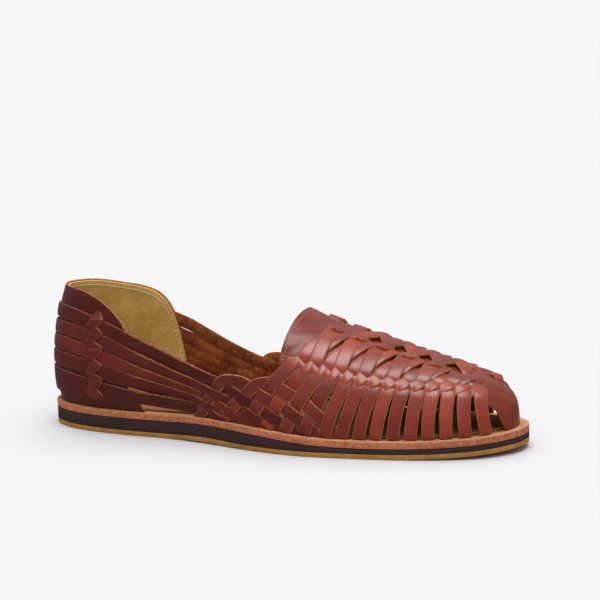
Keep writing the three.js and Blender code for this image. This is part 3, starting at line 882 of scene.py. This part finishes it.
def laid(name, number, side, rows, slit=None, **sizes):
    """Lays a strap over the apron at its own slit or at another's."""
    x = slit_x(number if slit is None else slit)
    spine = spine_at(x)
    path = [(x + ahead, sided(side, lerp(spine, FOLD_LINE, share) + past), lift, width, -side * roll)
            for ahead, share, past, lift, width, roll in rows]
    strap(f"{name}_{side_name(side)}_{number + 1:02d}", crown, path, **sizes)


def raised_strip(number, side):
    """A strip on top of the apron, the lip that it dives under and its loop over the crest."""
    if number:
        laid("lozenge", number, side, LOZENGE, puff=0.12)
    if among(number, side, LIPS):
        laid("lip", number, side, LIP, puff=0.3, step=0.9)
    if among(number, side, RIDGE_LOOPS):
        laid("ridge_loop", number, side, RIDGE_LOOP, puff=0.35, step=1.0)


def low_strip(number, side):
    """A strip that runs under its raised neighbour and shows again on its far side."""
    if number:
        laid("low_strip", number, side, LOW_STRIP, puff=0.2)
    if among(number, side, TWISTS):
        laid("twist", number, side, TWIST, slit=number - 1, puff=0.3, step=1.0)


# Spine band: shares of its width, shares of each hump's length, share at which a hump drops.
BAND_PLACES = [0, 0.06, 0.16, 0.28, 0.4, 0.52, 0.64, 0.76, 0.86, 0.94, 1]
HUMP_PLACES = [0, 0.05, 0.15, 0.27, 0.4, 0.55, 0.7, 0.82, 0.9, 0.96]
HUMP_DROP = 0.93
BAND_THICK = 1.2
BAND_TINT = 0.8
# The humps fade out over this stretch, towards the cap.
BAND_CALMS = (254, 268)
# Lower edge where a hump starts and where it is highest, below the middle of the band.
BAND_LOW = (-5.2, -1.9)
# Corners of a tooth of the upper edge: place from the slit's middle, height above the band's.
TOOTH = [(-2.5, 5.6), (2.3, 2.2)]


def on_lines(x, points):
    """Height at x of the straight lines through points."""
    return float(np.interp(x, *zip(*points)))


def thinned(places, least):
    """Places in order, without those that follow the one before too closely."""
    kept = []
    for place in sorted(places):
        if not kept or place - kept[-1] > least:
            kept.append(place)
    return kept


def band_top():
    """Upper edge of a spine band: place, millimetres above its middle, with a tooth at every slit."""
    teeth = []
    for middle in sorted(slit_x(n) for n in range(STRIPS)):
        teeth += [(middle + ahead, height) for ahead, height in TOOTH]
    return [(THROAT_X, 3), (teeth[0][0] - 3.5, 3.2), *teeth, (teeth[-1][0] + 3, 3.2), (LENGTH - 3, 3)]


def spine_band(side):
    """The margin of the apron between its slits, humped over every strip."""
    top = band_top()
    marks = sorted(spine_x(n) - 0.55 for n in range(STRIPS))
    places = {x for x, _ in top[2:-2]}
    for mark in marks:
        places |= {mark + SPINE_PITCH * (f - 0.5) for f in HUMP_PLACES}
    first, last = marks[0] - SPINE_PITCH / 2, marks[-1] + SPINE_PITCH / 2
    grid = []
    for x in thinned([first, *(x for x in places if first < x < last)], 0.2):
        f = ((x - first) / SPINE_PITCH) % 1
        rise = smoothstep(f, 0, 0.9) if f < HUMP_DROP else (1 - f) / (1 - HUMP_DROP)
        low, high = lerp(*BAND_LOW, rise), on_lines(x, top)
        hump = smoothstep(f, 0, 0.45) * (1 - smoothstep(f, 0.78, 0.97))
        calm = 1 - 0.85 * smoothstep(x, *BAND_CALMS)
        row = []
        for v in BAND_PLACES:
            angle = spine_at(x) + lerp(low, high, v) * degrees_per_mm(x)
            body = lerp(0.25 + 1.45 * hump, 0.85 + 0.15 * hump, smoothstep(v, 0, 0.7))
            edge = 0.3 * (1 - smoothstep(v, 0, 0.06) * (1 - smoothstep(v, 0.94, 1)))
            lift = (body + 0.35 * math.sin(math.pi * v)) * calm - edge
            row.append((x, sided(side, angle), lift))
        grid.append(row)
    sheet(f"spine_band_{side_name(side)}", crown, grid, BAND_THICK, [leather, cut_edge, suede],
          tint=BAND_TINT, painted=(0, len(BAND_PLACES) - 2))


# Basket weave of the quarters

def wall_height(x, angle):
    return float(crown(x, angle)[2] - upper_floor(x))


def travelled(line):
    """Distances along a line at its points."""
    total = [0.0]
    for (a, b), (c, d) in zip(line, line[1:]):
        total.append(total[-1] + math.hypot(c - a, d - b))
    return total


def smooth_line(points, step=0.9):
    total = travelled(points)
    return evenly(points, total, max(2, int(total[-1] / step)))


def cross(a, b):
    return a[0] * b[1] - a[1] * b[0]


def crossing(first, second):
    """Distances along two lines at which they cross, or None."""
    for i, (p, q) in enumerate(zip(first, first[1:])):
        for j, (r, s) in enumerate(zip(second, second[1:])):
            d1, d2 = (q[0] - p[0], q[1] - p[1]), (s[0] - r[0], s[1] - r[1])
            slant = cross(d1, d2)
            if abs(slant) < 1e-9:
                continue
            apart = (r[0] - p[0], r[1] - p[1])
            t, u = cross(apart, d2) / slant, cross(apart, d1) / slant
            if 0 <= t <= 1 and 0 <= u <= 1:
                return travelled(first)[i] + t * math.hypot(*d1), travelled(second)[j] + u * math.hypot(*d2)
    return None


def strap_points(index):
    """Points of a long strap from the back of the heel to the sole: place along the shoe, height."""
    heights, woven = STRAPS[index][1:]
    return [(place * LENGTH, height * COUNTER) for place, height in [*zip(STRAP_PLACES, heights), *woven]]


# The point of a long strap from which its line in the lattice is drawn.
LATTICE_POINT = 3
WEAVE_REACH = 2.6
WEAVE_LIFT = 0.7
WEAVE_LEAD = 9
LEAST_KNOT_GAP = 0.3
STRIP_LINE_STEPS = 40
# Centre lines of the lattice, as place along the shoe and height above the sole.
downward = [smooth_line(LOOPS[1][1]), smooth_line(LOOPS[0][1])]
downward += [smooth_line(strap_points(i)[LATTICE_POINT:]) for i in range(len(STRAPS))]
upward = [smooth_line(rise + fall[:1]) for rise, fall in LOOPS]
for number in range(STRIPS - 1, LATTICE_FIRST - 1, -1):
    strip = [strip_point(number, i / STRIP_LINE_STEPS) for i in range(STRIP_LINE_STEPS + 1)]
    upward.append([(x, wall_height(x, angle)) for x, angle in strip])
# Where each line crosses others: distance along it, 1 where it passes over and -1 under.
knots_down = [[] for _ in downward]
knots_up = [[] for _ in upward]
for i, falling in enumerate(downward):
    for j, rising in enumerate(upward):
        if (i, j) in ((0, 1), (1, 0)):
            continue
        met = crossing(falling, rising)
        if met:
            sign = 1 if (i + j) % 2 == 0 else -1
            knots_up[j].append((met[1], sign))
            knots_down[i].append((met[0], -sign))


def woven_lift(knots, start, end):
    """Lift along a strap that passes over and under at its crossings."""
    knots = sorted(knots)
    points = [(knots[0][0] - WEAVE_LEAD, start)]
    for s, sign in knots:
        points += [(s - WEAVE_REACH, sign * WEAVE_LIFT), (s + WEAVE_REACH, sign * WEAVE_LIFT)]
    points.append((knots[-1][0] + WEAVE_LEAD, end))
    clean = [points[0]]
    for s, lift in points[1:]:
        clean.append((max(s, clean[-1][0] + LEAST_KNOT_GAP), lift))
    return column(clean)


def strip_lifts(number):
    """Lift of a side strip by its share of the way up, or None ahead of the lattice."""
    if number < LATTICE_FIRST:
        return None
    j = len(LOOPS) + STRIPS - 1 - number
    if not knots_up[j]:
        return None
    total = travelled(upward[j])
    lift = woven_lift(knots_up[j], -0.5, 0.1)
    return lambda t: lift(float(np.interp(clamp(t, 0, 1) * STRIP_LINE_STEPS, range(len(total)), total)))


LOOP_WIDTH = 7.2
# Where the loop turns over, past its rise, and what the turn adds there.
TURN_AHEAD, TURN_SPREAD = 3, 6
TURN_LIFT, TURN_WIDTH, TURN_ROLL = 0.5, -0.6, 14
# Lift at which a woven strap meets the sole.
FOOT_LIFT = -0.6


def loop(index, side):
    """A strap that rises from the sole, turns over at the collar and runs down forward."""
    rise, fall = LOOPS[index]
    line = smooth_line(rise + fall, 1.1)
    up_length = travelled(upward[index])[-1]
    knots = knots_up[index] + [(up_length + s, sign) for s, sign in knots_down[1 - index]]
    lift = woven_lift(knots, FOOT_LIFT, FOOT_LIFT)
    rows = []
    for (x, height), s in zip(line, travelled(line)):
        turning = bell(s - up_length, TURN_AHEAD, TURN_SPREAD)
        rows.append((travel_at(side, x), height, lift(s) + TURN_LIFT * turning,
                     LOOP_WIDTH + TURN_WIDTH * turning, TURN_ROLL * turning * side))
    strap(f"loop_{side_name(side)}_{index + 1}", heel_wall, rows, puff=0.2, tint=0.3 + 0.15 * index)


# Heel

# Distances from the back of the heel: the keepers' middle, and the stretches over which the long
# straps leave the counter and enter the lattice.
KEEPER_TRAVEL = 50.0
COUNTER_LEFT = (68, 84)
LATTICE_ENTERED = (110, 122)


def strap_path(index, side):
    points = [(x / HEEL_ROUND * HEEL_ARC if x < HEEL_ROUND else travel_at(1, x), height)
              for x, height in strap_points(index)]
    path = []
    for travel, height in smooth_line(points, 2.0):
        waist = max(0, 1 - abs(travel - travel_at(1, MEDIAL_RISE_X)) / HEEL_ARC)
        path.append((side * travel, height + (MEDIAL_STRAP_RISE * waist if side > 0 else 0)))
    return path


STRAP_TINTS = [0.5, 0.62, 0.8, 0.55, 0.45]
# Widths on the counter, beside the foot and in the lattice.
STRAP_WIDTHS = (7.7, 7.9, 6.8)
TOP_STRAP_EXTRA = 0.4
MEDIAL_NARROWING = 0.8
STRAP_ROLLS = {-1: 15, 1: 3}
LIFT_ON_COUNTER = 0.3
LIFT_BEYOND = -0.3
KEEPER_PRESS = 0.4
KEEPER_PRESS_SPREAD = 6
# Length along a strap in the lattice for a millimetre along the shoe.
WOVEN_STRETCH = 1.06


def long_strap(index):
    """A strap from one lattice round the heel to the other, pressed down by the keepers."""
    lift = woven_lift(knots_down[len(LOOPS) + index], 0.0, FOOT_LIFT)
    lattice_start = travel_at(1, strap_points(index)[LATTICE_POINT][0])
    wide, wider, narrow = STRAP_WIDTHS
    narrow += 0 if index else TOP_STRAP_EXTRA
    rows = []
    for travel, height in strap_path(index, -1)[::-1] + strap_path(index, 1)[1:]:
        distance = abs(travel)
        woven = lift(WOVEN_STRETCH * (distance - lattice_start)) if distance > lattice_start else 0
        beyond = lerp(LIFT_BEYOND, woven, smoothstep(distance, *LATTICE_ENTERED))
        raised_by = lerp(LIFT_ON_COUNTER, beyond, smoothstep(distance, *COUNTER_LEFT))
        raised_by -= KEEPER_PRESS * bell(distance, KEEPER_TRAVEL, KEEPER_PRESS_SPREAD)
        width = lerp(wide, wider, smoothstep(distance, 40, 70))
        width = lerp(width, narrow, smoothstep(distance, 85, 125))
        width += STRAPS[index][0] * (1 - smoothstep(distance, 20, 83))
        width -= MEDIAL_NARROWING * smoothstep(travel, 60, 85)
        roll = STRAP_ROLLS[-1 if travel < 0 else 1] * smoothstep(distance, 62, 82)
        roll *= 1 - 0.6 * smoothstep(distance, 105, 125)
        rows.append((travel, height, raised_by, width, roll))
    strap(f"long_strap_{index + 1}", heel_wall, rows, tint=STRAP_TINTS[index], step=1.6, puff=0.25,
          bevel=0.25, face=dark_leather, edge=shaded_edge)


def counter_reach(side):
    return travel_at(1, COUNTER_FRONT + (COUNTER_MEDIAL_EXTRA if side > 0 else 0))


def top_of(side, eased):
    return toplines[side](eased) * COUNTER


def eased_side(signed):
    """Side and eased share of the counter's reach for a share of -1 to 1 round the heel."""
    return -1 if signed < 0 else 1, math.sin(abs(signed) * math.pi / 2)


HEEL_COLUMNS = 90
HEEL_ROWS = 18
FLARE_TOP = 13


def heel_grid(lift, lowest, trim, flare=0.0):
    """Grid of a panel round the heel, trimmed along its edge, with a foot that flares laterally."""
    grid = []
    for i in range(HEEL_COLUMNS + 1):
        side, eased = eased_side(2 * i / HEEL_COLUMNS - 1)
        top = top_of(side, eased) - trim
        row = []
        for j in range(HEEL_ROWS + 1):
            height = lerp(lowest, top, j / HEEL_ROWS)
            reach = counter_reach(side) - trim + flare * max(0, 1 - height / FLARE_TOP) * (side < 0)
            row.append((side * eased * reach, height, lift))
        grid.append(row)
    return grid


LINING_LIFT = -LEATHER / 2 - 1.05


def counter():
    sheet("counter", heel_wall, heel_grid(-LEATHER / 2, -0.3, 0, flare=10), LEATHER,
          [dark_leather, cut_edge, suede], tint=0.4)


def counter_lining():
    sheet("counter_lining_leather", heel_wall, heel_grid(LINING_LIFT, 1, 0.35), 1.0, [lining] * 3,
          ("counter_lining",))


KEEPER_HEIGHTS = [4 + i / 2 for i in range(109)]
KEEPER_COLUMNS = 9
KEEPER_THICK = 1.3
# Lift at its ends, between straps and over a strap, and the heights over which the ends sink.
KEEPER_SUNK = -0.75
KEEPER_LIFTS = (1.1, 1.6)
KEEPER_FOOT = (4, 9)
KEEPER_HEAD = (51, 58)
# Half the height that a strap, and the wider lowest one, takes up below the keeper.
UNDER_KEEPER, WIDE_UNDER_KEEPER = 4.3, 6.2


def keeper(side):
    """A band of the counter between two rows of slits, puffed over every strap."""
    rear, front = sorted(KEEPER_REAR), sorted(KEEPER_FRONT)
    below = [(heights[2] * COUNTER, WIDE_UNDER_KEEPER if extra else UNDER_KEEPER)
             for extra, heights, _ in STRAPS]
    grid = []
    for h in thinned({h for h, _ in rear + front} | set(KEEPER_HEIGHTS), 0.15):
        near = min(abs(h - middle) / half for middle, half in below)
        over = clamp(1 - near**4, 0, 1)
        end = smoothstep(h, *KEEPER_FOOT) * (1 - smoothstep(h, *KEEPER_HEAD))
        a, b = on_lines(h, rear), on_lines(h, front)
        row = []
        for j in range(KEEPER_COLUMNS + 1):
            v = j / KEEPER_COLUMNS
            puff = math.sin(math.pi * v) ** 0.7
            lift = lerp(KEEPER_SUNK, lerp(*KEEPER_LIFTS, over) + (0.4 + 0.5 * over) * puff, end)
            row.append((side * lerp(a, b, v), h, lift))
        grid.append(row)
    # The keeper is the counter's leather but is tinted lighter than the counter: painted light, to lift the
    # shade that falls on it.
    sheet(f"keeper_{side_name(side)}", heel_wall, grid, KEEPER_THICK, [dark_leather, cut_edge, suede],
          tint=0.7)


# Stitches

# A thread's section along its length: share of its half length, share of its thickness.
THREAD = [(-1, 0.25), (-0.6, 0.85), (0, 1), (0.6, 0.85), (1, 0.25)]


def stitches(name, surface, spots, material, node, size):
    """Short threads half sunk in a surface, each at a spot (a, b, lift) and towards the next one."""
    shape = Shape()
    long_half, wide_half, tall = size
    for spot, ahead in zip(spots, spots[1:]):
        point, normal = frame_at(surface, spot[0], spot[1])
        along = unit(surface(ahead[0], ahead[1]) - point)
        side = unit(np.cross(normal, along))
        centre = point + normal * spot[2]
        rings = []
        for k, share in THREAD:
            ring = []
            for q in range(6):
                turn = q * math.pi / 3
                ring.append(centre + along * long_half * k + side * wide_half * share * math.cos(turn)
                            + normal * tall * share * math.sin(turn))
            rings.append(ring)
        shape.rings(rings, [0] * 6, end_kind=0)
    shape.object(name, [material], (node,))


THROAT_STITCHES = 42
THROAT_MARGIN = 2.4
THROAT_STITCH_LIFT = 0.45
LINING_STITCHES = 118
LINING_SPAN = 0.985
LINING_MARGINS = (2.4, 2.8)


def throat_stitches():
    spots = []
    border = apron_edge(THROAT_X) + 4
    for i in range(THROAT_STITCHES + 1):
        angle = lerp(border, 180 - border, i / THROAT_STITCHES)
        spots.append((THROAT_X + throat_rise(angle) + THROAT_MARGIN, angle, THROAT_STITCH_LIFT))
    stitches("throat_stitches", crown, spots, throat_thread, "upper", (0.6, 0.45, 0.22))


def lining_stitches():
    spots = []
    front_margin, top_margin = LINING_MARGINS
    for i in range(LINING_STITCHES + 1):
        side, eased = eased_side(lerp(-LINING_SPAN, LINING_SPAN, i / LINING_STITCHES))
        spots.append((side * eased * (counter_reach(side) - front_margin),
                      top_of(side, eased) - top_margin, LINING_LIFT - 0.02))
    stitches("lining_stitches", heel_wall, spots, lining_thread, "counter_lining",
             (0.85, 0.42, 0.34))


apron()
for side in (-1, 1):
    for number in range(STRIPS):
        side_strip(number, side, strip_lifts(number))
        if raised(number, side):
            raised_strip(number, side)
        else:
            low_strip(number, side)
    spine_band(side)
    for index in range(len(LOOPS)):
        loop(index, side)
throat_stitches()
counter()
counter_lining()
lining_stitches()
for index in range(len(STRAPS)):
    long_strap(index)
for side in (-1, 1):
    keeper(side)


# Floor, light and camera

FLOOR_HALF = 15
PAPER = [(0.3, (0.668, 0.663, 0.676, 1)), (0.7, (0.671, 0.666, 0.679, 1))]
floor_mesh = bpy.data.meshes.new("floor")
corners = [(x * FLOOR_HALF, y * FLOOR_HALF, 0) for x, y in ((-1, -1), (1, -1), (1, 1), (-1, 1))]
floor_mesh.from_pydata(corners, [], [(0, 1, 2, 3)])
floor = new_object("floor", floor_mesh)
paper = Finish("paper", 1.0, Specular_IOR_Level=0.0)
paper.colour(paper.ramp(paper.noise(2, 2), PAPER))
floor_mesh.materials.append(paper.material)
floor.visible_glossy = False

# The sky is dark at the horizon and pale above, and leans a little to the far side.
SKY_LEAN = 0.12
SKY_STRENGTH = 0.8
HORIZON = (0.2, 0.2, 0.205, 1)
ZENITH = (0.9, 0.9, 0.91, 1)
world = bpy.data.worlds.new("studio")
bpy.context.scene.world = world
sky = Nodes(world)
direction = sky.node("SeparateXYZ", {0: sky.node("TexCoord", {})["Generated"]})
leaning = sky.node("Math", {0: direction["Y"], 1: SKY_LEAN, 2: direction["Z"]}, operation="MULTIPLY_ADD")
gradient = sky.ramp(leaning[0], [(0.0, HORIZON), (1.0, ZENITH)])
sky.fill(sky.tree.nodes["Background"], {"Color": gradient, "Strength": SKY_STRENGTH})


def sun(name, source, strength, angle, mirrored=True):
    """A wide sun from the direction of source; mirrored says whether gloss reflects it."""
    data = bpy.data.lights.new(name, "SUN")
    data.energy = strength
    data.angle = math.radians(angle)
    lamp = new_object(name, data)
    lamp.rotation_mode = "QUATERNION"
    lamp.rotation_quaternion = (-Vector(source)).to_track_quat("-Z", "Y")
    lamp.visible_glossy = mirrored


sun("overhead", (0.05, -0.12, 0.99), 1.55, 36)
sun("behind", (-0.2, 0.45, 0.87), 0.95, 40, mirrored=False)
sun("front", (0.15, -0.75, 0.65), 0.5, 60, mirrored=False)

# Camera, from its fit to the photo's 600 x 600 frame: the pixel is where the middle of the sole is.
AZIMUTH, ELEVATION, ROLL = math.radians(23), math.radians(13), math.radians(1.2)
DISTANCE = 1.5
SENSOR = 36
PIXELS_PER_MM = 1.738
FRAME_PIXELS = 600
TARGET_PIXEL = (285.5, 432.8)
target = placed((LENGTH / 2, 0, 0))
away = np.array((math.sin(AZIMUTH) * math.cos(ELEVATION), -math.cos(AZIMUTH) * math.cos(ELEVATION),
                 math.sin(ELEVATION)))
camera_data = bpy.data.cameras.new("camera")
camera = new_object("camera", camera_data)
camera_data.sensor_width = SENSOR
camera_data.lens = PIXELS_PER_MM * DISTANCE * MM_PER_M / FRAME_PIXELS * SENSOR
look = (-Vector(away)).to_track_quat("-Z", "Y").to_matrix()
camera.rotation_euler = (look @ Matrix.Rotation(-ROLL, 3, "Z")).to_euler()
camera.location = Vector(target) + Vector(away) * DISTANCE
camera_data.shift_x = (FRAME_PIXELS / 2 - TARGET_PIXEL[0]) / FRAME_PIXELS
camera_data.shift_y = (TARGET_PIXEL[1] - FRAME_PIXELS / 2) / FRAME_PIXELS
camera_data.clip_end = 60
bpy.context.scene.camera = camera
bpy.context.scene.view_settings.view_transform = "Standard"
